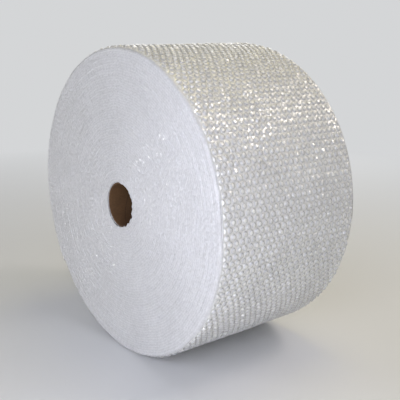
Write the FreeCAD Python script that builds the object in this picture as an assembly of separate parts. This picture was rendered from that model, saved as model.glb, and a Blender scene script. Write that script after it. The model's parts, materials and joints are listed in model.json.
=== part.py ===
import FreeCAD, Part

import math
import os

# A roll of bubble film, 12 inches wide, wound on a 3 inch cardboard core and lying on its side.
# Frame: +Y along the core, +Z up, origin at the centre of the bore, halfway along the width.
# Lengths are in millimetres and angles in degrees. An angle is measured in the X-Z plane from +X
# towards +Z, which is anticlockwise as seen from the -Y end.

# The cardboard core
bore_diameter = 76.2  # a 3 inch core
core_wall = 3.4
core_setback = 2.5  # how far each end of the core lies inside the film's end

# The film, as wound
film_width = 304.8  # a 12 inch roll
turn_thickness = 4.5  # one wound turn: a film with 5 mm bubbles, slightly pressed
turn_count = 53

# The rows of bubbles on the outermost turn, each row a ridge that runs across the width
bubble_diameter = 10.0
row_gap = 1.0  # flat film between two rows
bubble_lean = 2.2  # how far a bubble's side leans in from its foot to its flattened top
bubble_height = 3.4
rows_to_floor = 24  # rows between the film's free end and the row that the roll rests on

# The turns' edges on the two ends: packs of turns that stand out towards their outer side
turns_per_pack = 6
pack_drop = 1.8  # how far a pack's inner side lies behind its outer side
rim_turns = 5  # outermost turns that lie level, round both ends' rims

# The soft roll's own flat spot, where it lies on the floor
flat_width = 70.0

bore_radius = bore_diameter / 2
core_radius = bore_radius + core_wall
core_length = film_width - 2 * core_setback
outer_radius = core_radius + turn_count * turn_thickness

row_pitch = bubble_diameter + row_gap
row_count = round(2 * math.pi * (outer_radius - turn_thickness / 2) / row_pitch)
row_angle = 360.0 / row_count
down = 270.0
tail_angle = down - (rows_to_floor + 0.5) * row_angle  # the film's free end, low at the back

pack_step = turns_per_pack * turn_thickness
pack_count = int((turn_count - rim_turns) / turns_per_pack)


def row_crest(row):
    """Radius of the top of a row of bubbles. The film is a spiral, so each row stands a little higher."""
    return outer_radius - turn_thickness * (1 - (row + 0.5) / row_count)


floor_height = -math.sqrt(row_crest(rows_to_floor) ** 2 - (flat_width / 2) ** 2)


def around_axis(radius, angle, along=0.0):
    """A point at that radius and angle round the core's axis."""
    turned = math.radians(angle)
    return FreeCAD.Vector(radius * math.cos(turned), along, radius * math.sin(turned))


def film_outline():
    """The film seen along the core: one spiral turn of bubble rows, closed by the free end's step."""
    half_foot = bubble_diameter / row_pitch * row_angle / 2
    half_top = (bubble_diameter - 2 * bubble_lean) / row_pitch * row_angle / 2
    points = []
    for row in range(row_count):
        middle = tail_angle + (row + 0.5) * row_angle
        crest = row_crest(row)
        foot = crest - bubble_height
        points.append(around_axis(foot, middle - half_foot, -film_width / 2))
        points.append(around_axis(crest, middle - half_top, -film_width / 2))
        points.append(around_axis(crest, middle + half_top, -film_width / 2))
        points.append(around_axis(foot, middle + half_foot, -film_width / 2))
    return Part.Face(Part.makePolygon(points + points[:1]))


def packs_section(centre):
    """Half the roll's section from that centre outwards, in the X-Y plane, with a slope for each pack."""
    level = film_width / 2
    hollow = level - pack_drop
    points = [(centre, hollow), (core_radius, hollow)]
    for pack in range(1, pack_count + 1):
        outer_side = core_radius + pack * pack_step
        points.append((outer_side, level))
        if pack < pack_count:
            points.append((outer_side, hollow))
    points.append((outer_radius + pack_step, level))
    outline = [FreeCAD.Vector(x, y, 0) for x, y in points]
    outline += [FreeCAD.Vector(x, -y, 0) for x, y in reversed(points)]
    return Part.Face(Part.makePolygon(outline + outline[:1]))


def packs_blank():
    """A thick disc with the spiral of the packs' edges on both ends. The spiral ends at -X.

    The spiral has two centres. Its upper half turns are round the axis, and its lower half turns
    are round a centre half a step to the +X side, so that each arc runs smoothly into the next.
    """
    upwards = FreeCAD.Vector(0, -1, 0)
    half_step = pack_step / 2
    upper = packs_section(0).revolve(FreeCAD.Vector(0, 0, 0), upwards, 180)
    lower = packs_section(half_step).revolve(FreeCAD.Vector(half_step, 0, 0), -upwards, 180)
    return upper.fuse(lower)


def make_film_roll():
    """All turns of the film as one solid, with its bore, its bubble rows, its ends and its flat spot."""
    wound = film_outline().extrude(FreeCAD.Vector(0, film_width, 0))
    blank = packs_blank()
    blank.rotate(FreeCAD.Vector(0, 0, 0), FreeCAD.Vector(0, -1, 0), tail_angle - 180)
    wound = wound.common(blank)
    below_floor = Part.makeBox(
        2 * outer_radius,
        film_width,
        outer_radius,
        FreeCAD.Vector(-outer_radius, -film_width / 2, floor_height - outer_radius),
    )
    core_space = Part.makeCylinder(
        core_radius, film_width, FreeCAD.Vector(0, -film_width / 2, 0), FreeCAD.Vector(0, 1, 0)
    )
    return wound.cut(below_floor).cut(core_space)


def make_core_tube():
    """The cardboard core: a plain tube, cut square at both ends."""
    start = FreeCAD.Vector(0, -core_length / 2, 0)
    along = FreeCAD.Vector(0, 1, 0)
    outside = Part.makeCylinder(core_radius, core_length, start, along)
    return outside.cut(Part.makeCylinder(bore_radius, core_length, start, along))


def main():
    """Build both pieces and write each to its own file."""
    os.makedirs("parts", exist_ok=True)
    pieces = {
        "bubble_film_roll": make_film_roll(),
        "core_tube": make_core_tube(),
    }
    for node, shape in pieces.items():
        shape.exportStep(f"parts/{node}.step")
        box = shape.BoundBox
        size = [round(length, 1) for length in (box.XLength, box.YLength, box.ZLength)]
        print(node, len(shape.Solids), "solid,", len(shape.Faces), "faces, valid", shape.isValid(), size)
    print("floor at", round(floor_height, 4), "free end at", round(tail_angle, 2), "degrees")


main()
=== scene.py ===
"""The looks of a wide roll of bubble film on a cardboard core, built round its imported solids.

Lengths are in metres and angles in radians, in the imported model's frame: +Y along the core, +Z up,
and the origin in the middle of the core's bore. The film is wound anticlockwise as seen from -Y.
"""

import json
import logging
import math
from dataclasses import dataclass
from enum import Enum

import bmesh
import bpy
import numpy as np
from mathutils import Matrix, Vector


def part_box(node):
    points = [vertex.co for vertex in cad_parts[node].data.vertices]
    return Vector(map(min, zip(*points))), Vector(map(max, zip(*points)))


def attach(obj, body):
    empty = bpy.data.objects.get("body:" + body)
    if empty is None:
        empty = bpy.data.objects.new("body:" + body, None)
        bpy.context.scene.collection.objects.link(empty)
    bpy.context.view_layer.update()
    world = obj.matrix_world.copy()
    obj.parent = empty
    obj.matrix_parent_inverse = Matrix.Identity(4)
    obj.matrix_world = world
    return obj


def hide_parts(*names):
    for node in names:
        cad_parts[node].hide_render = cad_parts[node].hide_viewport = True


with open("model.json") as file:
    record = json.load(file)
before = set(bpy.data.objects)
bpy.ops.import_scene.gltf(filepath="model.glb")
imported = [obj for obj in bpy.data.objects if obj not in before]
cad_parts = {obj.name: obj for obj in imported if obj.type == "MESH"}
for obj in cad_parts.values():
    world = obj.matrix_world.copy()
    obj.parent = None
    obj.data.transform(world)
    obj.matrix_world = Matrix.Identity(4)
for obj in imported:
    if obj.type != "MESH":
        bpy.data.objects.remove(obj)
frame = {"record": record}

Array = np.ndarray
Pair = tuple[float, float]
Triple = tuple[float, float, float]
Piece = bpy.types.Object
Material = bpy.types.Material
Socket = bpy.types.NodeSocket
Inputs = dict[str | int, object]

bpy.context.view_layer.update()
FILM_NODE = "bubble_film_roll"
CORE_NODE = "core_tube"
MILLIMETRE = 0.001
FULL_TURN = 2 * math.pi
# The paleness also carries painted shade on the bubbles' sides, in the cut bubbles' hollows, on the rim
# and under the core's edge, and a painted highlight on each bubble's top.
PALE = "pale"  # the mesh attribute that tells a finish where its film is pale
FILM_MAP = "film_map"  # the UV map in metres: along the film, and across it

log = logging.getLogger("bubble_roll")


class RollEnd(Enum):
    """An end of the roll, with the side of the Y axis that it is on."""

    NEAR = -1
    FAR = 1


@dataclass(frozen=True)
class Ripple:
    """Smooth unevenness over a surface: a sum of sine waves with seeded directions and phases.

    Attributes:
        seed: Picks the waves.
        wavelength: The middle wavelength, in the units of the two coordinates.
        height: The ripple's spread.
        waves: How many waves are added up.
    """

    seed: int
    wavelength: float
    height: float = 1.0
    waves: int = 9

    def at(self, across: Array, along: Array | float = 0.0) -> Array:
        """Height of the ripple.

        Args:
            across: First coordinate of each point.
            along: Second coordinate of each point.

        Returns:
            Heights, positive and negative.
        """
        dice = np.random.RandomState(self.seed)
        total = np.zeros(np.broadcast(across, along).shape)
        for _ in range(self.waves):
            heading, phase = dice.uniform(0, FULL_TURN, 2)
            number = FULL_TURN / (self.wavelength * dice.uniform(0.6, 1.7))
            run = across * math.cos(heading) + along * math.sin(heading)
            total += np.sin(number * run + phase)
        return self.height * (total * math.sqrt(2 / self.waves))


@dataclass(frozen=True)
class Winding:
    """The spiral that the film is wound in, which every film piece takes its place from.

    Attributes:
        core_radius: Outside of the core, where the first turn lies.
        half_width: Half of the film's width.
        floor_height: Height of the floor that flattens the roll's lowest line.
        turn_thickness: How much each turn adds to the radius.
        turn_count: Turns from the core to the free end.
        row_pitch: Distance from one row of bubbles to the next, along the film.
        rows_to_floor: Rows between the free end and the row that the roll rests on.
    """

    core_radius: float
    half_width: float
    floor_height: float
    turn_thickness: float = 4.5 * MILLIMETRE
    turn_count: int = 53
    row_pitch: float = 11.0 * MILLIMETRE
    rows_to_floor: int = 24

    @property
    def outer_radius(self) -> float:
        """Radius of the bubbles' tops at the free end."""
        return self.core_radius + self.turn_count * self.turn_thickness

    @property
    def row_count(self) -> int:
        """Rows of bubbles on the outermost turn."""
        return round(FULL_TURN * (self.outer_radius - self.turn_thickness / 2) / self.row_pitch)

    @property
    def tail_angle(self) -> float:
        """Angle of the free end, from +X towards +Z."""
        return 1.5 * math.pi - (self.rows_to_floor + 0.5) * FULL_TURN / self.row_count

    def crest(self, turns: Array) -> Array:
        """Radius of the bubbles' tops after that many turns."""
        return self.core_radius + self.turn_thickness * turns

    def angle(self, turns: Array) -> Array:
        """Angle round the core after that many turns."""
        return self.tail_angle + FULL_TURN * (turns - self.turn_count)

    def round_roll(self, turns: Array) -> Array:
        """Distance run round the roll's outside in that many turns."""
        return turns * FULL_TURN * self.outer_radius

    def place(self, turns: Array, radius: Array, along: Array) -> Array:
        """Points on the roll, with the lowest ones pressed flat by the floor.

        Args:
            turns: Turns from the core, which give the angle.
            radius: Distance from the axis.
            along: Distance along the core from the middle.

        Returns:
            One row of x, y and z for each point.
        """
        angle = self.angle(turns)
        height = np.maximum(radius * np.sin(angle), self.floor_height)
        return np.stack([radius * np.cos(angle), along, height], axis=-1)


class Nodes:
    """A node tree, with short calls for adding to it."""

    def __init__(self, tree: bpy.types.NodeTree) -> None:
        """Takes the tree."""
        self.tree = tree

    def feed(self, node: bpy.types.Node, inputs: Inputs) -> None:
        """Fills a node's inputs.

        Args:
            node: The node.
            inputs: A value or another node's output for each input, by its name or number.
        """
        for key, value in inputs.items():
            if isinstance(value, Socket):
                self.tree.links.new(value, node.inputs[key])
            else:
                node.inputs[key].default_value = value

    def node(self, kind: str, inputs: Inputs, **settings: object) -> bpy.types.Node:
        """Adds a node.

        Args:
            kind: The node's type.
            inputs: What its inputs are filled with.
            settings: Values for its named properties.

        Returns:
            The node.
        """
        made = self.tree.nodes.new(kind)
        for setting, value in settings.items():
            setattr(made, setting, value)
        self.feed(made, inputs)
        return made

    def maths(self, operation: str, first: object, second: object = 0.0) -> Socket:
        """One sum on two sockets or numbers."""
        return self.node("ShaderNodeMath", {0: first, 1: second}, operation=operation).outputs[0]

    def seen_directly(self) -> Socket:
        """A factor of 1 for what is seen directly, in a reflection or through something clear.

        Returns:
            The factor, which is 0 for light that falls on the object.
        """
        path = self.node("ShaderNodeLightPath", {}).outputs
        seen = path["Is Camera Ray"]
        for kind in ("Is Glossy Ray", "Is Transmission Ray"):
            seen = self.maths("MAXIMUM", seen, path[kind])
        return seen

    def show(self, share: Socket, first: bpy.types.Node, second: bpy.types.Node, output: str) -> None:
        """Sends two mixed shaders to that output node, with that share of the second one."""
        mixed = self.node("ShaderNodeMixShader", {0: share, 1: first.outputs[0], 2: second.outputs[0]})
        self.feed(self.tree.nodes[output], {"Surface": mixed.outputs[0]})


class Paint(Nodes):
    """A material's node tree, with short calls for the nodes that the finishes use."""

    def __init__(self, name: str) -> None:
        """Starts a material with only its shader and output.

        Args:
            name: The material's name.
        """
        self.finished = bpy.data.materials.new(name)
        self.finished.use_nodes = True
        super().__init__(self.finished.node_tree)
        self.shader = self.tree.nodes["Principled BSDF"]

    def place(self) -> Socket:
        """The point's place in the roll's frame."""
        return self.node("ShaderNodeTexCoord", {}).outputs["Object"]

    def marked(self, attribute: str) -> Socket:
        """The value of a mesh attribute."""
        return self.node("ShaderNodeAttribute", {}, attribute_name=attribute).outputs["Fac"]

    def stretched(self, place: Socket, scale: Triple) -> Socket:
        """Coordinates with a scale of their own on each axis."""
        return self.node("ShaderNodeMapping", {"Vector": place, "Scale": scale}).outputs["Vector"]

    def noise(self, place: Socket, scale: float, detail: float, distortion: float = 0.0) -> Socket:
        """Noise at those coordinates.

        Args:
            place: The coordinates.
            scale: Features per unit of them.
            detail: Octaves of finer noise.
            distortion: How far the noise is bent.

        Returns:
            The noise's factor.
        """
        inputs = {"Vector": place, "Scale": scale, "Detail": detail, "Distortion": distortion}
        return self.node("ShaderNodeTexNoise", inputs).outputs["Fac"]

    def ramp(self, factor: Socket, start: Pair, end: Pair) -> Socket:
        """Maps a factor to a value in a straight line between two points, and level outside them.

        Args:
            factor: What is mapped.
            start: A factor and its value.
            end: A larger factor and its value.

        Returns:
            The value.
        """
        ends = {"From Min": start[0], "To Min": start[1], "From Max": end[0], "To Max": end[1]}
        return self.node("ShaderNodeMapRange", {"Value": factor, **ends}).outputs["Result"]

    def blend(self, factor: Socket, first: Triple, second: Triple) -> Socket:
        """Goes from one colour to another as the factor goes from 0 to 1.

        Args:
            factor: The factor.
            first: The colour at 0.
            second: The colour at 1.

        Returns:
            The colour.
        """
        made = self.node("ShaderNodeValToRGB", {"Fac": factor})
        for stop, colour in zip(made.color_ramp.elements, (first, second)):
            stop.color = (*colour, 1.0)
        return made.outputs["Color"]

    def vectors(self, operation: str, inputs: Inputs) -> Socket:
        """One sum on vectors."""
        return self.node("ShaderNodeVectorMath", inputs, operation=operation).outputs[0]

    def darken(self, colour: Socket | Triple, *levels: Socket) -> Socket:
        """Multiplies a colour by each of the levels.

        Args:
            colour: The colour.
            levels: The levels.

        Returns:
            The darker colour.
        """
        for level in levels:
            colour = self.vectors("SCALE", {0: colour, "Scale": level})
        return colour

    def relief(self, height: Socket, strength: float, distance: float) -> None:
        """Gives the surface that relief.

        Args:
            height: Height of the relief.
            strength: How much of it is used.
            distance: Height in metres where it is 1.
        """
        inputs = {"Height": height, "Strength": strength, "Distance": distance}
        self.feed(self.shader, {"Normal": self.node("ShaderNodeBump", inputs).outputs["Normal"]})

    def facets(self, place: Socket, tilt: float, share: float) -> None:
        """Gives the gloss small flat facets, which glint where one faces a lamp.

        Args:
            place: Coordinates in which a facet is one unit large.
            tilt: How far a facet leans at most, as a slope along each axis.
            share: The share of the surface that leans. A small share leans mostly upwards.
        """
        cells = self.node("ShaderNodeTexVoronoi", {"Vector": place, "Scale": 1.0}).outputs["Color"]
        blue = self.node("ShaderNodeSeparateColor", {0: cells}).outputs["Blue"]
        slope = self.maths("MULTIPLY", self.maths("GREATER_THAN", blue, 1.0 - share), 2 * tilt)
        centred = self.vectors("SUBTRACT", {0: cells, 1: (0.5, 0.5, 0.5)})
        leaning = self.vectors("SCALE", {0: centred, "Scale": slope})
        face = self.node("ShaderNodeNewGeometry", {}).outputs["True Normal"]
        added = self.vectors("ADD", {0: leaning, 1: face})
        self.feed(self.shader, {"Coat Normal": self.vectors("NORMALIZE", {0: added})})

    def plastic(self, roughness: float, gloss: float, depth: float, reach: float) -> None:
        """Sets the shader to layered clear film, which looks milky.

        Args:
            roughness: Roughness of the film.
            gloss: Weight of the sharper gloss on top.
            depth: Share of the light that spreads inside the layers.
            reach: How far that light spreads.
        """
        inputs = {
            "Roughness": roughness,
            "IOR": 1.5,
            "Coat Weight": gloss,
            "Coat Roughness": 0.1,
            "Coat IOR": 1.9,
            "Subsurface Weight": depth,
            "Subsurface Radius": (1.0, 1.0, 1.0),
            "Subsurface Scale": reach,
        }
        self.feed(self.shader, inputs)


@dataclass(frozen=True)
class SheetFinish:
    """The outermost turn: clear domes on creased film, with a painted highlight on each top and painted
    shade on the sides.

    Attributes:
        bubble: Colour of a bubble's side, darker as painted shade.
        flat: Colour where the film is palest, which the painted highlight on each bubble's top takes.
    """

    bubble: Triple = (0.55, 0.555, 0.6)
    flat: Triple = (0.9, 0.895, 0.875)

    def material(self) -> Material:
        """Builds the material."""
        paint = Paint("bubble_sheet")
        place = paint.place()
        cloudy = paint.ramp(paint.noise(place, scale=14.0, detail=3.0), (0.35, 0.93), (0.65, 1.0))
        wrinkles = paint.noise(place, scale=300.0, detail=3.0, distortion=0.6)
        hazy = paint.ramp(wrinkles, (0.36, 0.84), (0.62, 1.0))
        # The bubbles' sides get painted shade and their tops a painted highlight, from the pale attribute.
        colour = paint.blend(paint.marked(PALE), self.bubble, self.flat)
        paint.feed(paint.shader, {"Base Color": paint.darken(colour, cloudy, hazy)})
        paint.plastic(roughness=0.25, gloss=1.0, depth=0.2, reach=4 * MILLIMETRE)
        film = paint.node("ShaderNodeUVMap", {}, uv_map=FILM_MAP).outputs["UV"]
        creases = paint.noise(paint.stretched(film, (24.0, 210.0, 1.0)), scale=1.0, detail=2.0)
        height = paint.maths("ADD", wrinkles, paint.ramp(creases, (0.5, 0.0), (0.68, 1.0)))
        paint.relief(height, strength=0.6, distance=0.9 * MILLIMETRE)
        paint.facets(paint.stretched(film, (150.0, 420.0, 1.0)), tilt=0.22, share=1.0)
        return paint.finished


@dataclass(frozen=True)
class EdgeFinish:
    """The edges of many turns, frosted and milky, with a few bright specks.

    Attributes:
        hollow: Colour inside the cut bubbles, darker as painted shade in those hollows.
        film: Colour of the films' edges.
    """

    hollow: Triple = (0.62, 0.625, 0.65)
    film: Triple = (0.745, 0.75, 0.77)

    def material(self) -> Material:
        """Builds the material."""
        paint = Paint("film_edges")
        place = paint.place()
        cloudy = paint.ramp(paint.noise(place, scale=16.0, detail=3.0), (0.35, 0.95), (0.65, 1.0))
        grain = paint.noise(place, scale=260.0, detail=3.0, distortion=0.4)
        frosted = paint.ramp(grain, (0.38, 0.9), (0.62, 1.0))
        # The hollows of the cut bubbles get painted shade, from the pale attribute.
        colour = paint.blend(paint.marked(PALE), self.hollow, self.film)
        paint.feed(paint.shader, {"Base Color": paint.darken(colour, cloudy, frosted)})
        paint.plastic(roughness=0.5, gloss=0.4, depth=0.45, reach=7 * MILLIMETRE)
        specks = paint.ramp(grain, (0.56, 0.0), (0.72, 1.0))
        paint.relief(specks, strength=0.4, distance=1.4 * MILLIMETRE)
        paint.facets(paint.stretched(place, (300.0, 300.0, 300.0)), tilt=0.36, share=0.45)
        return paint.finished


@dataclass(frozen=True)
class KraftFinish:
    """Brown wound board with the spiral seam of its plies and short fibres.

    Attributes:
        board: The board's colour.
        seam: The seam's darker colour.
        seam_pitch: How far the seam runs along the tube in one turn.
    """

    board: Triple = (0.135, 0.068, 0.026)
    seam: Triple = (0.09, 0.045, 0.018)
    seam_pitch: float = 0.11

    def material(self) -> Material:
        """Builds the material."""
        paint = Paint("kraft_board")
        place = paint.place()
        parts = paint.node("ShaderNodeSeparateXYZ", {0: place}).outputs
        turned = paint.maths("DIVIDE", paint.maths("ARCTAN2", parts["Z"], parts["X"]), FULL_TURN)
        forward = paint.maths("DIVIDE", parts["Y"], self.seam_pitch)
        saw = paint.maths("FRACT", paint.maths("ADD", turned, forward))
        near_seam = paint.maths("ABSOLUTE", paint.maths("SUBTRACT", saw, 0.5))
        seam_line = paint.ramp(near_seam, (0.004, 1.0), (0.012, 0.0))
        fibres = paint.noise(paint.stretched(place, (1.0, 0.25, 1.0)), scale=900.0, detail=4.0)
        blotches = paint.noise(place, scale=45.0, detail=2.0)
        colour = paint.darken(
            paint.blend(seam_line, self.board, self.seam),
            paint.ramp(fibres, (0.3, 0.72), (0.7, 1.0)),
            paint.ramp(blotches, (0.3, 0.82), (0.7, 1.0)),
        )
        paint.feed(paint.shader, {"Base Color": colour, "Roughness": 0.82})
        grooves = paint.maths("SUBTRACT", fibres, seam_line)
        paint.relief(grooves, strength=0.5, distance=0.3 * MILLIMETRE)
        return paint.finished


@dataclass(frozen=True)
class FloorFinish:
    """The plain studio floor, which turns evenly into the backdrop's colour further away.

    Attributes:
        backdrop: Colour of the backdrop.
        colour: The floor's colour round the roll.
        turning: Distances from the roll at which it starts and stops turning into the backdrop.
    """

    backdrop: Triple
    colour: Triple = (0.8, 0.81, 0.82)
    turning: Pair = (0.45, 2.2)

    def material(self) -> Material:
        """Builds the material."""
        paint = Paint("studio_floor")
        place = paint.place()
        mottle = paint.ramp(paint.noise(place, scale=3.0, detail=2.0), (0.3, 0.985), (0.7, 1.0))
        paint.feed(paint.shader, {"Base Color": paint.darken(self.colour, mottle), "Roughness": 0.9})
        reach = paint.node("ShaderNodeVectorMath", {0: place}, operation="LENGTH").outputs["Value"]
        away = paint.ramp(reach, (self.turning[0], 0.0), (self.turning[1], 1.0))
        plain = paint.node("ShaderNodeEmission", {"Color": (*self.backdrop, 1.0)})
        share = paint.maths("MULTIPLY", away, paint.seen_directly())
        paint.show(share, paint.shader, plain, "Material Output")
        return paint.finished


def mesh_object(name: str, shape: bmesh.types.BMesh) -> Piece:
    """Turns a finished shape into an object in the scene, with smooth faces.

    Args:
        name: The object's name.
        shape: The shape, which is freed.

    Returns:
        The new object.
    """
    mesh = bpy.data.meshes.new(name)
    shape.to_mesh(mesh)
    shape.free()
    mesh.shade_smooth()
    made = bpy.data.objects.new(name, mesh)
    bpy.context.scene.collection.objects.link(made)
    return made


def strip(name: str, columns: int, steps: int) -> tuple[Piece, Array, Array]:
    """A grid that a piece is then shaped from.

    Args:
        name: The piece's name.
        columns: Faces along it.
        steps: Faces across it.

    Returns:
        The object, and for each vertex its column and its step, counted from 0.
    """
    shape = bmesh.new()
    bmesh.ops.create_grid(shape, x_segments=columns, y_segments=steps, size=0.5)
    piece = mesh_object(name, shape)
    flat = points_of(piece)
    column = np.rint((flat[:, 0] + 0.5) * columns).astype(int)
    step = np.rint((flat[:, 1] + 0.5) * steps).astype(int)
    return piece, column, step


def points_of(piece: Piece) -> Array:
    """The places of a piece's vertices.

    Args:
        piece: The piece.

    Returns:
        One row of x, y and z for each vertex.
    """
    flat = np.empty(len(piece.data.vertices) * 3)
    piece.data.vertices.foreach_get("co", flat)
    return flat.reshape(-1, 3)


def complete(piece: Piece, points: Array, pale: Array, finish: Material, turn_over: bool) -> Piece:
    """Puts a piece's vertices in place and gives it its finish.

    Args:
        piece: The piece.
        points: A place for each vertex.
        pale: How pale the film is at each vertex, painted shade and highlights included, for the finish to
            read.
        finish: The material.
        turn_over: Whether its faces have to be turned over to point outwards.

    Returns:
        The same piece.
    """
    mesh = piece.data
    mesh.vertices.foreach_set("co", points.ravel())
    mesh.update()
    layer = mesh.attributes.new(PALE, "FLOAT", "POINT")
    layer.data.foreach_set("value", np.clip(pale, 0.0, 1.0).astype(np.float32))
    if turn_over:
        mesh.flip_normals()
    mesh.materials.append(finish)
    return piece


def lay_film_map(piece: Piece, along: Array, across: Array) -> None:
    """Stores each vertex's place on the unwound film, for the finish's creases and glints.

    Args:
        piece: The piece.
        along: Each vertex's distance along the film.
        across: Its distance across the film.
    """
    corners = np.empty(len(piece.data.loops), dtype=np.int32)
    piece.data.loops.foreach_get("vertex_index", corners)
    layer = piece.data.uv_layers.new(name=FILM_MAP)
    layer.data.foreach_set("uv", np.stack([along, across], axis=-1)[corners].ravel())


def soften(value: Array) -> Array:
    """A smooth step from 0 to 1 over the same range."""
    clipped = np.clip(value, 0.0, 1.0)
    return clipped * clipped * (3 - 2 * clipped)


def everything_in(shape: bmesh.types.BMesh) -> list:
    """The shape's vertices, edges and faces."""
    return shape.verts[:] + shape.edges[:] + shape.faces[:]


def vertices_in(parts: list) -> list[bmesh.types.BMVert]:
    """The vertices in an operator's mixed list of parts."""
    return [part for part in parts if isinstance(part, bmesh.types.BMVert)]


def repeat(block: bmesh.types.BMesh, offsets: list[Triple]) -> None:
    """Puts a copy of all that is in the block at each offset, in place of the first one.

    Args:
        block: The block.
        offsets: How far each copy is moved.
    """
    first = everything_in(block)
    for offset in offsets:
        copied = bmesh.ops.duplicate(block, geom=first)["geom"]
        bmesh.ops.translate(block, verts=vertices_in(copied), vec=offset)
    bmesh.ops.delete(block, geom=vertices_in(first), context="VERTS")


@dataclass(frozen=True)
class BubbleFaults:
    """How much the bubbles differ from one another.

    Attributes:
        seed: Picks every bubble's own faults.
        fullness: Mean and spread of a bubble's height, as a share of the full height.
        limp_share: Share of the bubbles that have lost air.
        limp_loss: The least and the most that such a bubble's fullness loses.
        fullness_limits: The least and the most that a fullness can be.
        slide: Spread of how far a bubble's top lies off its foot.
        tilt: Spread of its top's slopes.
        dent: Mean depth of the dent in its top.
        dent_reach: Radius of that dent.
        clearness: The least and the most that its paleness is multiplied by.
        spare_columns: Columns of bubbles beyond the film's width that have faults too.
    """

    seed: int = 7
    fullness: Pair = (0.93, 0.09)
    limp_share: float = 0.09
    limp_loss: Pair = (0.15, 0.5)
    fullness_limits: Pair = (0.35, 1.04)
    slide: float = 0.35 * MILLIMETRE
    tilt: float = 0.09
    dent: float = 0.4 * MILLIMETRE
    dent_reach: float = 3.0 * MILLIMETRE
    clearness: Pair = (0.5, 1.2)
    spare_columns: int = 6


@dataclass(frozen=True)
class BubbleSheet:
    """The outermost turn: a sheet with a dome for every bubble, in rows across the width.

    Attributes:
        winding: The roll's spiral.
        bubble_pitch: Distance from one bubble to the next along a row.
        foot_radius: A bubble's radius where it meets the flat film.
        lean: How far its side leans in, and how much further its top's edge lies.
        rise: How high its side and its top's edge rise, each above the part before.
        bubble_height: Height of the top's middle.
        sides: Corners of a bubble's rings.
        rim_reach: How far the smooth rim reaches in from the film's edge, its corner's radius.
        rising_reach: Over how much more the bubbles rise to their full height.
        front_rows: First row of the piece that faces the photograph's view, and one past its last.
        paleness: Of the flat film, a bubble's side, its top's edge and its top's middle; the dark side is
            painted shade and the pale top a painted highlight.
        corner_share: How much of the rim's corner is used, as its very end is too steep.
        faults: How much the bubbles differ.
        slack: The flat film's slow unevenness.
        creases: Its quicker unevenness, which runs further across the film than along it.
    """

    winding: Winding
    bubble_pitch: float = 12.0 * MILLIMETRE
    foot_radius: float = 5.0 * MILLIMETRE
    lean: Pair = (0.8 * MILLIMETRE, 1.5 * MILLIMETRE)
    rise: Pair = (2.3 * MILLIMETRE, 0.9 * MILLIMETRE)
    bubble_height: float = 3.5 * MILLIMETRE
    sides: int = 12
    rim_reach: float = 5.5 * MILLIMETRE
    rising_reach: float = 2.5 * MILLIMETRE
    front_rows: tuple[int, int] = (31, 111)
    paleness: tuple[float, float, float, float] = (0.8, 0.05, 0.75, 1.1)
    corner_share: float = 0.97
    faults: BubbleFaults = BubbleFaults()
    slack: Ripple = Ripple(seed=21, wavelength=0.16, height=0.35 * MILLIMETRE)
    creases: Ripple = Ripple(seed=22, wavelength=0.035, height=0.14 * MILLIMETRE)

    def cell(self, shape: bmesh.types.BMesh) -> None:
        """Models one bubble in the middle of its own rectangle of flat film.

        Args:
            shape: The empty shape that it is modelled in.
        """
        grid = bmesh.ops.create_grid(shape, x_segments=2, y_segments=4, size=0.5)["verts"]
        inner = [vert for vert in grid if not vert.is_boundary]
        bmesh.ops.delete(shape, geom=inner, context="VERTS")
        size = (self.winding.row_pitch, self.bubble_pitch, 1.0)
        bmesh.ops.scale(shape, verts=shape.verts[:], vec=size)
        bmesh.ops.create_circle(shape, cap_ends=True, radius=self.foot_radius, segments=self.sides)
        dome = shape.faces[:][0]
        bmesh.ops.bridge_loops(shape, edges=shape.edges[:])
        for inwards, upwards in zip(self.lean, self.rise):
            bmesh.ops.inset_region(shape, faces=[dome], thickness=inwards, use_even_offset=True)
            bmesh.ops.translate(shape, verts=dome.verts[:], vec=(0, 0, upwards))
        crown = bmesh.ops.poke(shape, faces=[dome])["verts"]
        bmesh.ops.translate(shape, verts=crown, vec=(0, 0, self.bubble_height - sum(self.rise)))

    def rows(self, shape: bmesh.types.BMesh, first: int, last: int) -> None:
        """Lays out rows of bubbles on a flat sheet, every second row half a pitch further on.

        The sheet has x along the film, y across it and z away from the core.

        Args:
            shape: What the rows are added to.
            first: The first row.
            last: One past the last row.
        """
        block = bmesh.new()
        self.cell(block)
        half_count = math.ceil(self.winding.half_width / self.bubble_pitch) + 1
        columns = range(-half_count, half_count)
        repeat(block, [(0, (column + 0.5) * self.bubble_pitch, 0) for column in columns])
        pitch = self.winding.row_pitch
        repeat(block, [((row + 0.5) * pitch, self.row_shift(row), 0) for row in range(first, last)])
        reach = self.winding.half_width - self.rim_reach
        for side in (-1, 1):
            cut = {"plane_co": (0, side * reach, 0), "plane_no": (0, side, 0), "clear_outer": True}
            bmesh.ops.bisect_plane(block, geom=everything_in(block), **cut)
        bmesh.ops.remove_doubles(block, verts=block.verts[:], dist=0.01 * MILLIMETRE)
        rows = bpy.data.meshes.new("bubble_rows")
        block.to_mesh(rows)
        block.free()
        shape.from_mesh(rows)
        bpy.data.meshes.remove(rows)

    def row_shift(self, row: Array) -> Array:
        """How far a row's bubbles lie from the middle of the pitch, one way or the other."""
        return np.where(row % 2, 0.25, -0.25) * self.bubble_pitch

    def wrap(self, piece: Piece, finish: Material) -> None:
        """Gives each bubble its own small faults and wraps the flat sheet round the roll.

        Args:
            piece: The flat sheet.
            finish: The film's material.
        """
        wound = self.winding
        along_film, across, height = points_of(piece).T
        row = np.floor(along_film / wound.row_pitch + 1e-6)
        row = np.clip(row, 0, wound.row_count - 1).astype(int)
        shift = self.row_shift(row)
        column = np.floor((across - shift) / self.bubble_pitch).astype(int)
        off_along = along_film - (row + 0.5) * wound.row_pitch
        off_across = across - (column + 0.5) * self.bubble_pitch - shift
        off_middle = np.hypot(off_along, off_across)
        rise = height / self.bubble_height

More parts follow.
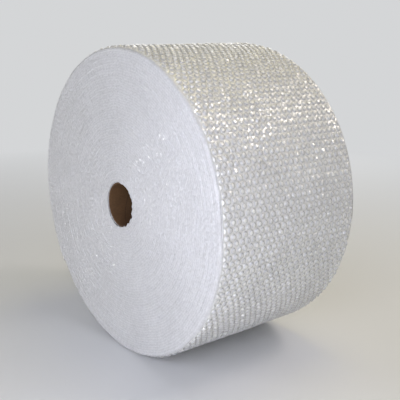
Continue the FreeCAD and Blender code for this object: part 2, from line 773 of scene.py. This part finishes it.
        faults = self.faults
        columns = 2 * math.ceil(wound.half_width / self.bubble_pitch) + faults.spare_columns
        table = (wound.row_count, columns)
        which = (row, column % columns)
        dice = np.random.RandomState(faults.seed)
        fullness = dice.normal(*faults.fullness, table)
        limp = dice.uniform(size=table) < faults.limp_share
        fullness -= np.where(limp, dice.uniform(*faults.limp_loss, table), 0.0)
        slide = dice.normal(0.0, faults.slide, (2, *table))
        tilt = dice.normal(0.0, faults.tilt, (2, *table))
        dent = dice.exponential(faults.dent, table)
        clear = dice.uniform(*faults.clearness, table)

        height = height * np.clip(fullness[which], *faults.fullness_limits)
        height = height + rise * (tilt[0][which] * off_along + tilt[1][which] * off_across)
        height = height - dent[which] * soften(1.0 - off_middle / faults.dent_reach) * (rise > 0.5)
        from_edge = wound.half_width - np.abs(across)
        grown = soften((from_edge - self.rim_reach) / self.rising_reach)
        along_film = along_film + grown * rise * slide[0][which]
        across = across + grown * rise * slide[1][which]
        turns = wound.turn_count - 1 + along_film / (wound.row_pitch * wound.row_count)
        points = wound.place(turns, self.land(turns, across) + height * grown, across)
        side_height = self.rise[0] / self.bubble_height
        edge_height = sum(self.rise) / self.bubble_height
        # Painted shade on each bubble's side and a painted highlight on its top.
        pale = np.interp(rise, [0.0, side_height, edge_height, 1.0], self.paleness)
        pale = np.where(rise > 0.0, pale * clear[which], self.paleness[0])
        complete(piece, points, 1.0 - (1.0 - pale) * grown, finish, turn_over=True)
        lay_film_map(piece, along_film, across)

    def land(self, turns: Array, across: Array) -> Array:
        """Radius of the flat film between the bubbles, with its unevenness.

        Args:
            turns: Turns from the core.
            across: Distance across the film from its middle.

        Returns:
            The radius.
        """
        round_roll = self.winding.round_roll(turns)
        level = self.winding.crest(turns) - self.bubble_height + self.slack.at(round_roll, across)
        return level + self.creases.at(round_roll, across * 0.5)

    def land_at_rim(self, turns: Array, end: RollEnd) -> Array:
        """Radius of the flat film where it starts to turn down into that end's rim."""
        return self.land(turns, end.value * (self.winding.half_width - self.rim_reach))

    def corner_fall(self, past: Array) -> Array:
        """How far the rim's corner has turned away at that distance past its start."""
        past = np.clip(past, 0.0, self.corner_share * self.rim_reach)
        return self.rim_reach - np.sqrt(self.rim_reach**2 - past**2)

    def build(self, finish: Material) -> list[Piece]:
        """Builds the sheet as two pieces, one that faces the photograph's view and one that doesn't.

        Args:
            finish: The film's material.

        Returns:
            The two pieces.
        """
        start, end = self.front_rows
        stretches = {
            "outer_turn_front": [(start, end)],
            "outer_turn_back": [(0, start), (end, self.winding.row_count)],
        }
        pieces = []
        for name, row_ranges in stretches.items():
            shape = bmesh.new()
            for first, last in row_ranges:
                self.rows(shape, first, last)
            pieces.append(mesh_object(name, shape))
            self.wrap(pieces[-1], finish)
        return pieces


@dataclass(frozen=True)
class EndTurns:
    """One end of the roll: the edges of all turns but the outermost, with open bubbles between them.

    A turn's flat film is a ridge, and the film of its bubbles is a second ridge that swings from
    that turn to the next one, with a hollow on each side of it.

    Attributes:
        sheet: The outermost turn, for its bubbles' height and its rim.
        side: Which end it is.
        columns_per_row: Steps along the film for each row of bubbles.
        hollow_depth: How deep the widest hollow is.
        hollow_shares: The least and the most of that depth that a bubble's hollow has.
        swing: How far the bubbles' film swings from the middle between two turns.
        drift: Spread of how far a row of bubbles is out of step with the row before.
        spread: How far turns stand out of line, more or less.
        ridge: How much further the bubbles' film stands out.
        bend: How far a turn strays from its even spiral.
        bend_reach: Distance from the core and the rim over which the bend comes in.
        first_turn: Where the innermost turn starts.
        overhang: How far the innermost film hangs over the core's edge at most.
        hang: How far it hangs over on average, and how much further where it is loose.
        raggedness: How unevenly it hangs over, and how much more so where it is loose.
        loosest: Angle from the loosest place to +X, round the core.
        shade: How much less pale the bubbles' film is.
    """

    sheet: BubbleSheet
    side: RollEnd
    columns_per_row: int = 4
    hollow_depth: float = 1.1 * MILLIMETRE
    hollow_shares: Pair = (0.55, 1.1)
    swing: float = 0.42
    drift: float = 0.07
    spread: float = 0.2 * MILLIMETRE
    ridge: float = 0.15 * MILLIMETRE
    bend: Ripple = Ripple(seed=33, wavelength=0.05, height=0.5 * MILLIMETRE)
    bend_reach: float = 10 * MILLIMETRE
    first_turn: float = 0.12
    overhang: float = 4.5 * MILLIMETRE
    hang: Pair = (0.4 * MILLIMETRE, 1.8 * MILLIMETRE)
    raggedness: Pair = (0.5 * MILLIMETRE, 1.2 * MILLIMETRE)
    loosest: float = 0.3
    shade: float = 0.25

    def film_length(self, turns: Array) -> Array:
        """Length of film wound after that many turns."""
        wound = self.sheet.winding
        return FULL_TURN * (wound.core_radius * turns + wound.turn_thickness * turns**2 / 2)

    def turns_at(self, length: Array) -> Array:
        """Turns wound by a length of film, the reverse of film_length.

        Args:
            length: The length, counted from the core.

        Returns:
            The turns.
        """
        wound = self.sheet.winding
        root = np.sqrt(wound.core_radius**2 + wound.turn_thickness * length / math.pi)
        return (root - wound.core_radius) / wound.turn_thickness

    def recess(self, radius: Array, turns: Array) -> Array:
        """How far the end's surface falls back near the rounded rim.

        Args:
            radius: Distance from the axis.
            turns: Turns from the core.

        Returns:
            The distance, which is 0 up to the rim's corner.
        """
        wound = self.sheet.winding
        above = turns - np.floor(turns - wound.turn_count + 1e-9) - 1
        land = wound.crest(above) - self.sheet.bubble_height
        return self.sheet.corner_fall(radius - (land - self.sheet.rim_reach))

    def standing(self, turns: Array) -> Array:
        """How far a turn's edge stands out of line.

        Args:
            turns: Turns from the core, the place along the film.

        Returns:
            The distance, positive outwards.
        """
        seed = 40 + self.side.value
        slow = Ripple(seed, wavelength=0.9).at(turns * FULL_TURN)
        return self.spread * (slow + Ripple(seed + 5, wavelength=0.11, height=0.6).at(turns * FULL_TURN))

    def lip(self, turns: Array) -> Array:
        """How far the innermost film hangs over the core's edge, most of all on the +X side.

        Args:
            turns: Turns from the core.

        Returns:
            The distance.
        """
        wound = self.sheet.winding
        angle = wound.angle(turns)
        seed = 60 + self.side.value
        ragged = Ripple(seed, wavelength=8.0 * MILLIMETRE).at(angle * wound.core_radius)
        slow = Ripple(seed + 3, wavelength=60 * MILLIMETRE, height=0.4 * MILLIMETRE)
        loose = soften(np.cos(angle + self.loosest))
        even = self.hang[0] + self.hang[1] * loose + slow.at(angle * wound.core_radius)
        uneven = (self.raggedness[0] + self.raggedness[1] * loose) * ragged
        return np.clip(even + uneven, 0.0, self.overhang)

    def build(self, finish: Material) -> Piece:
        """Builds the end as one long strip of grid, wound up from the core outwards.

        Args:
            finish: The material of the film's edges.

        Returns:
            The finished piece.
        """
        wound = self.sheet.winding
        last_turn = wound.turn_count - 1
        start, end = self.film_length(np.array([self.first_turn, last_turn]))
        columns = round((end - start) / wound.row_pitch * self.columns_per_row)
        piece, column, level = strip(f"end_turns_{self.side.name.lower()}", columns, steps=4)
        turns = self.turns_at(start + (end - start) * column / columns)
        turns[column == columns] = last_turn

        dice = np.random.RandomState(90 + self.side.value)
        rows = columns // self.columns_per_row + 2
        drift = np.cumsum(dice.normal(0.0, self.drift, rows))
        phase = column / self.columns_per_row
        phase = phase + np.interp(phase, np.arange(rows), drift)
        bubble = 0.5 - self.swing * np.cos(FULL_TURN * phase)
        share = np.choose(level, [0.0, bubble / 2, bubble, (1 + bubble) / 2, 1.0])
        below = wound.crest(turns) - wound.turn_thickness
        inner = np.where(turns < 1, wound.core_radius - self.lip(turns), below)
        radius = inner + share * (wound.crest(turns) - inner)

        under_rim = turns > last_turn - 1
        land = self.sheet.land_at_rim(turns + 1, self.side)
        rim_edge = land + self.sheet.bubble_height - wound.turn_thickness
        radius = radius + share * np.where(under_rim, rim_edge - wound.crest(turns), 0.0)

        gap = np.choose(level, [0.0, bubble, 0.0, 1 - bubble, 0.0])
        hollow = dice.uniform(*self.hollow_shares, rows)[np.clip(phase.astype(int), 0, rows - 1)]
        own = self.standing(turns) + self.ridge * (level == 2)
        following = np.where(under_rim, 0.0, self.standing(turns + 1))
        edge = np.choose(level, [own, own, own, (own + following) / 2, following])
        depth = self.hollow_depth * gap * hollow
        out = wound.half_width + edge - depth - self.recess(radius, turns)
        angle = wound.angle(turns)
        bend = self.bend.at(radius * np.cos(angle), radius * np.sin(angle))
        from_core = soften((radius - wound.core_radius) / self.bend_reach)
        from_rim = soften((wound.crest(last_turn) - radius) / self.bend_reach)
        points = wound.place(turns, radius + bend * from_core * from_rim, self.side.value * out)
        # Painted shade grows with the depth of the cut bubbles' hollows; the bubbles' film is also a
        # little less pale.
        pale = 1.0 - gap - self.shade * (level == 2)
        return complete(piece, points, pale, finish, turn_over=self.side is RollEnd.NEAR)


@dataclass(frozen=True)
class Rim:
    """The outermost turn's rounded edge, from the bubbled sheet round to the end's turns.

    Attributes:
        end: The end that the rim borders.
        steps: Grid steps round the corner.
        columns_per_row: Steps along the film for each row of bubbles.
        puff: How far the worn film stands off the even corner, more or less.
        row_share: How far it also follows the rows of bubbles, as a share of that.
        shade: How much painted shade darkens the film where the worn rim dips in, most next to the end's
            turns.
    """

    end: EndTurns
    steps: int = 7
    columns_per_row: int = 6
    puff: float = 0.3 * MILLIMETRE
    row_share: float = 0.4
    shade: float = 0.25

    def build(self, finish: Material) -> Piece:
        """Builds the rim as one turn of grid round the corner.

        Args:
            finish: The material of the film's edges.

        Returns:
            The finished piece.
        """
        sheet = self.end.sheet
        wound = sheet.winding
        side = self.end.side
        columns = wound.row_count * self.columns_per_row
        piece, column, step = strip(f"rim_{side.name.lower()}", columns, self.steps)
        turns = wound.turn_count - 1 + column / columns
        widest = math.acos(1 - (wound.turn_thickness - sheet.bubble_height) / sheet.rim_reach)
        corner_angle = widest * step / self.steps
        row_phase = (turns - wound.turn_count) * wound.row_count * FULL_TURN
        worn = Ripple(70 + side.value, wavelength=20 * MILLIMETRE).at(wound.round_roll(turns))
        bulge = np.sin(math.pi * step / self.steps) * (worn + self.row_share * np.cos(row_phase))
        reach = sheet.rim_reach + self.puff * bulge
        radius = sheet.land_at_rim(turns, side) - sheet.rim_reach + reach * np.cos(corner_angle)
        along = side.value * (wound.half_width - sheet.rim_reach + reach * np.sin(corner_angle))
        # Painted shade where the rim dips in, growing towards the end's turns.
        pale = 1.0 - self.shade * soften((1.0 - worn) / 2) * step / self.steps
        points = wound.place(turns, radius, along)
        return complete(piece, points, pale, finish, turn_over=side is RollEnd.FAR)


@dataclass(frozen=True)
class CoreLip:
    """The inside of the innermost film where it hangs over the core's end.

    Attributes:
        end: The end whose innermost film it is.
        depth: How far it reaches back, past the core's end.
        sunk: How far its back edge lies inside the core's wall.
        columns: Steps round the core.
        steps: Steps from the edge inwards.
        shade: How much painted shade darkens its back edge, in under the core's edge.
    """

    end: EndTurns
    depth: float = 3.0 * MILLIMETRE
    sunk: float = 1.0 * MILLIMETRE
    columns: int = 180
    steps: int = 4
    shade: float = 0.8

    def build(self, finish: Material) -> Piece:
        """Builds the lip as a short tube with a ragged edge.

        Args:
            finish: The material of the film's edges.

        Returns:
            The finished piece.
        """
        wound = self.end.sheet.winding
        side = self.end.side
        piece, column, step = strip(f"core_lip_{side.name.lower()}", self.columns, self.steps)
        turns = self.end.first_turn + column / self.columns
        inward = step / self.steps
        back = wound.core_radius - self.sunk
        radius = wound.core_radius - self.end.lip(turns)
        radius = radius + (back - radius) * soften(inward)
        out = wound.half_width + self.end.standing(turns) - inward * self.depth
        points = wound.place(turns, radius, side.value * out)
        # Painted shade, growing towards the back edge inside the core's wall.
        pale = 1.0 - self.shade * inward
        return complete(piece, points, pale, finish, turn_over=side is RollEnd.FAR)


@dataclass(frozen=True)
class FreeEnd:
    """The film's free end: its cut edge lies on the turn below, a little loose.

    Attributes:
        sheet: The outermost turn.
        overlap: How far the loose edge reaches past the last row of bubbles.
        lift: How far its lip stands off the turn below.
        thickness: How thick the lip is.
        columns: Steps across the width.
        wave: How the lip's distance from the turn below varies.
        ragged: How the overlap varies.
        paleness: Of the lip, and of the rest.
    """

    sheet: BubbleSheet
    overlap: float = 9.0 * MILLIMETRE
    lift: float = 0.9 * MILLIMETRE
    thickness: float = 0.35 * MILLIMETRE
    columns: int = 150
    wave: Ripple = Ripple(seed=81, wavelength=50 * MILLIMETRE, height=0.5 * MILLIMETRE)
    ragged: Ripple = Ripple(seed=82, wavelength=18 * MILLIMETRE, height=0.5 * MILLIMETRE)
    paleness: Pair = (1.0, 0.8)

    def build(self, finish: Material) -> Piece:
        """Builds the edge as a thin tongue across the width, closed underneath and at its sides.

        Args:
            finish: The film's material.

        Returns:
            The finished piece.
        """
        sheet = self.sheet
        wound = sheet.winding
        piece, step, column = strip("film_free_end", 5, self.columns)
        closing = (column == 0) | (column == self.columns)
        corner_start = wound.half_width - sheet.rim_reach
        half_length = corner_start + sheet.corner_share * sheet.rim_reach
        inner = (np.clip(column, 1, self.columns - 1) - 1) / (self.columns - 2)
        across = (inner - 0.5) * 2 * np.where(closing, wound.half_width, half_length)
        fall = sheet.corner_fall(np.abs(across) - corner_start)
        land = sheet.land(wound.turn_count, across)
        below = wound.crest(wound.turn_count - 1)
        lip = below + self.lift + self.wave.at(across)
        tip = self.overlap + self.ragged.at(across)
        sunk = below - sheet.bubble_height
        halfway = (lip + sunk) / 2 - MILLIMETRE
        forward = np.choose(step, [0.0, 0.55 * tip, tip, tip, 0.5 * tip, 0.0])
        forward = np.where(closing, 0.0, forward)
        radius = np.choose(step, [land, (land + lip) / 2, lip, lip - self.thickness, halfway, sunk])
        turns = wound.turn_count + forward / (FULL_TURN * wound.outer_radius)
        pale = np.where((step == 2) | (step == 3), *self.paleness)
        complete(piece, wound.place(turns, radius - fall, across), pale, finish, turn_over=False)
        lay_film_map(piece, wound.round_roll(turns), across)
        return piece


@dataclass(frozen=True)
class CoreTube:
    """The cardboard core, a wound tube whose cut ends are slightly worn.

    Attributes:
        outer_radius: The tube's outside.
        bore_radius: The tube's inside.
        half_length: Half of the tube's length.
        segments: Sides of the tube.
        lengths: Stretches that its length is drawn out in.
        worn: How far the cut edges are rounded.
        cut_angle: An edge with more than this angle between its faces is a cut edge.
    """

    outer_radius: float
    bore_radius: float
    half_length: float
    segments: int = 128
    lengths: int = 12
    worn: float = 0.5 * MILLIMETRE
    cut_angle: float = 1.0

    def build(self, finish: Material) -> Piece:
        """Builds the tube from a ring that is drawn out, thickened inwards and bevelled.

        Args:
            finish: The board's material.

        Returns:
            The finished piece.
        """
        shape = bmesh.new()
        quarter_turn = Matrix.Rotation(math.pi / 2, 3, "X")
        start = Matrix.Translation((0, -self.half_length, 0)) @ quarter_turn.to_4x4()
        bmesh.ops.create_circle(
            shape, cap_ends=False, radius=self.outer_radius, segments=self.segments, matrix=start
        )
        edges = shape.edges[:]
        stretch = (0, 2 * self.half_length / self.lengths, 0)
        for _ in range(self.lengths):
            drawn = bmesh.ops.extrude_edge_only(shape, edges=edges)["geom"]
            verts = vertices_in(drawn)
            bmesh.ops.translate(shape, verts=verts, vec=stretch)
            edges = [part for part in drawn if isinstance(part, bmesh.types.BMEdge)]
            edges = [edge for edge in edges if all(vert in verts for vert in edge.verts)]
        bmesh.ops.recalc_face_normals(shape, faces=shape.faces[:])
        wall = self.outer_radius - self.bore_radius
        bmesh.ops.solidify(shape, geom=shape.faces[:], thickness=wall)
        sharp = [edge for edge in shape.edges if edge.calc_face_angle(0.0) > self.cut_angle]
        rounding = {"offset_type": "OFFSET", "affect": "EDGES", "segments": 2, "profile": 0.5}
        bmesh.ops.bevel(shape, geom=sharp, offset=self.worn, material=-1, **rounding)
        piece = mesh_object("core_tube_wound", shape)
        piece.data.materials.append(finish)
        return piece


@dataclass(frozen=True)
class SoftBox:
    """A soft studio lamp that is aimed at the middle of the roll.

    Attributes:
        name: The lamp's name.
        place: Where it hangs.
        size: Its sides.
        power: Its power in watts.
        colour: The light's colour.
    """

    name: str
    place: Triple
    size: Pair
    power: float
    colour: Triple

    def hang(self) -> None:
        """Adds the lamp to the scene."""
        lamp = bpy.data.lights.new(self.name, "AREA")
        lamp.shape = "RECTANGLE"
        lamp.size, lamp.size_y = self.size
        lamp.energy = self.power
        lamp.color = self.colour
        holder = bpy.data.objects.new(self.name, lamp)
        holder.location = self.place
        holder.visible_camera = False
        aim = Vector() - Vector(self.place)
        holder.rotation_euler = aim.to_track_quat("-Z", "Y").to_euler()
        bpy.context.scene.collection.objects.link(holder)


@dataclass(frozen=True)
class Studio:
    """The pale floor, the lamps, the surrounding light and the camera.

    Attributes:
        floor_height: Height of the floor.
        azimuth: Where the camera stands, from -Y towards +X.
        elevation: How far above the horizon it stands.
        distance: How far it is from the middle of the roll.
        frame_pixels: Side of the photograph.
        focal_pixels: The lens's focal length in the photograph's pixels.
        middle_pixel: Where the middle of the roll lies in the photograph, from its top left.
        sensor_width: Width of the camera's sensor in millimetres.
        floor_reach: Radius of the floor.
        surround: Colour of the light from all round.
        surround_strength: Its strength.
        backdrop: Colour of what is seen behind the roll.
    """

    floor_height: float
    azimuth: float = math.radians(51.8)
    elevation: float = math.radians(13.4)
    distance: float = 1.316
    frame_pixels: float = 400.0
    focal_pixels: float = 691.0
    middle_pixel: Pair = (187.4, 192.9)
    sensor_width: float = 36.0
    floor_reach: float = 14.0
    surround: Triple = (0.98, 0.985, 1.0)
    surround_strength: float = 0.23
    backdrop: Triple = (0.66, 0.67, 0.68)

    def lamps(self) -> list[SoftBox]:
        """The lamps: a cool one by the camera, a small white one for glints, and warmer ones all round."""
        return [
            SoftBox("near_box", (0.55, -0.7, 0.15), (0.5, 0.5), 3.6, (0.82, 0.84, 1.0)),
            SoftBox("front_box", (-0.5, -2.3, 0.05), (1.4, 0.6), 3.4, (1.0, 0.93, 0.8)),
            SoftBox("top_box", (0.1, 0.3, 1.6), (0.9, 0.7), 5.2, (1.0, 0.86, 0.38)),
            SoftBox("back_right_box", (0.7, 1.1, 1.25), (0.36, 0.48), 6.6, (1.0, 0.9, 0.82)),
            SoftBox("low_box", (1.2, -0.9, 0.0), (0.6, 0.4), 3.2, (1.0, 0.98, 0.85)),
            SoftBox("glint_box", (-0.6, -1.3, 0.35), (0.16, 0.16), 1.5, (1.0, 1.0, 1.0)),
            SoftBox("back_left_box", (-1.3, 1.5, 0.5), (1.4, 1.4), 9.0, (1.0, 0.99, 0.97)),
        ]

    def lay_floor(self) -> None:
        """Lays the floor as a wide disc."""
        shape = bmesh.new()
        level = Matrix.Translation((0, 0, self.floor_height))
        bmesh.ops.create_circle(shape, cap_ends=True, radius=self.floor_reach, segments=96, matrix=level)
        floor = mesh_object("studio_floor", shape)
        floor.data.materials.append(FloorFinish(self.backdrop).material())

    def set_camera(self) -> None:
        """Puts the camera at the photograph's viewing angle, with its framing."""
        camera = bpy.data.cameras.new("photo_camera")
        camera.sensor_width = self.sensor_width
        camera.lens = self.focal_pixels / self.frame_pixels * self.sensor_width
        camera.shift_x = (self.frame_pixels / 2 - self.middle_pixel[0]) / self.frame_pixels
        camera.shift_y = (self.middle_pixel[1] - self.frame_pixels / 2) / self.frame_pixels
        level = math.cos(self.elevation)
        direction = Vector(
            (level * math.sin(self.azimuth), -level * math.cos(self.azimuth), math.sin(self.elevation))
        )
        holder = bpy.data.objects.new("photo_camera", camera)
        holder.location = self.distance * direction
        holder.rotation_euler = (-direction).to_track_quat("-Z", "Y").to_euler()
        bpy.context.scene.collection.objects.link(holder)
        bpy.context.scene.camera = holder

    def set_surround(self) -> None:
        """Lights the room evenly, with a plain pale backdrop where it is seen directly."""
        world = bpy.data.worlds.new("studio_surround")
        bpy.context.scene.world = world
        world.use_nodes = True
        nodes = Nodes(world.node_tree)
        lit = nodes.tree.nodes["Background"]
        nodes.feed(lit, {"Color": (*self.surround, 1.0), "Strength": self.surround_strength})
        seen = nodes.node("ShaderNodeBackground", {"Color": (*self.backdrop, 1.0)})
        nodes.show(nodes.seen_directly(), lit, seen, "World Output")

    def build(self) -> None:
        """Sets up the whole studio."""
        self.lay_floor()
        self.set_surround()
        for lamp in self.lamps():
            lamp.hang()
        self.set_camera()
        bpy.context.scene.view_settings.view_transform = "Standard"


def seat(piece: Piece, node: str) -> None:
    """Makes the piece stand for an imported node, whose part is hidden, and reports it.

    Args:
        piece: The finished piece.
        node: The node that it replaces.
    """
    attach(piece, "root")
    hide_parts(node)
    piece.data.calc_loop_triangles()
    log.info("%s: %d triangles", piece.name, len(piece.data.loop_triangles))


def main() -> None:
    """Builds the roll's pieces in order, then the studio."""
    logging.basicConfig(level=logging.INFO, format="%(name)s: %(message)s")
    film_low, film_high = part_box(FILM_NODE)
    _, core_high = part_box(CORE_NODE)
    bore = next(mount for mount in frame["record"]["mounts"] if mount["name"] == "core_bore")
    sheet_finish = SheetFinish().material()
    edge_finish = EdgeFinish().material()
    sheet = BubbleSheet(Winding(core_high.z, film_high.y, film_low.z))
    film_pieces = sheet.build(sheet_finish)
    for side in RollEnd:
        end = EndTurns(sheet, side)
        film_pieces += [part.build(edge_finish) for part in (end, Rim(end), CoreLip(end))]
    film_pieces.append(FreeEnd(sheet).build(sheet_finish))
    for piece in film_pieces:
        seat(piece, FILM_NODE)
    core = CoreTube(core_high.z, bore["dims"]["r_mm"] * MILLIMETRE, core_high.y)
    seat(core.build(KraftFinish().material()), CORE_NODE)
    Studio(floor_height=film_low.z).build()


if __name__ == "__main__":
    main()
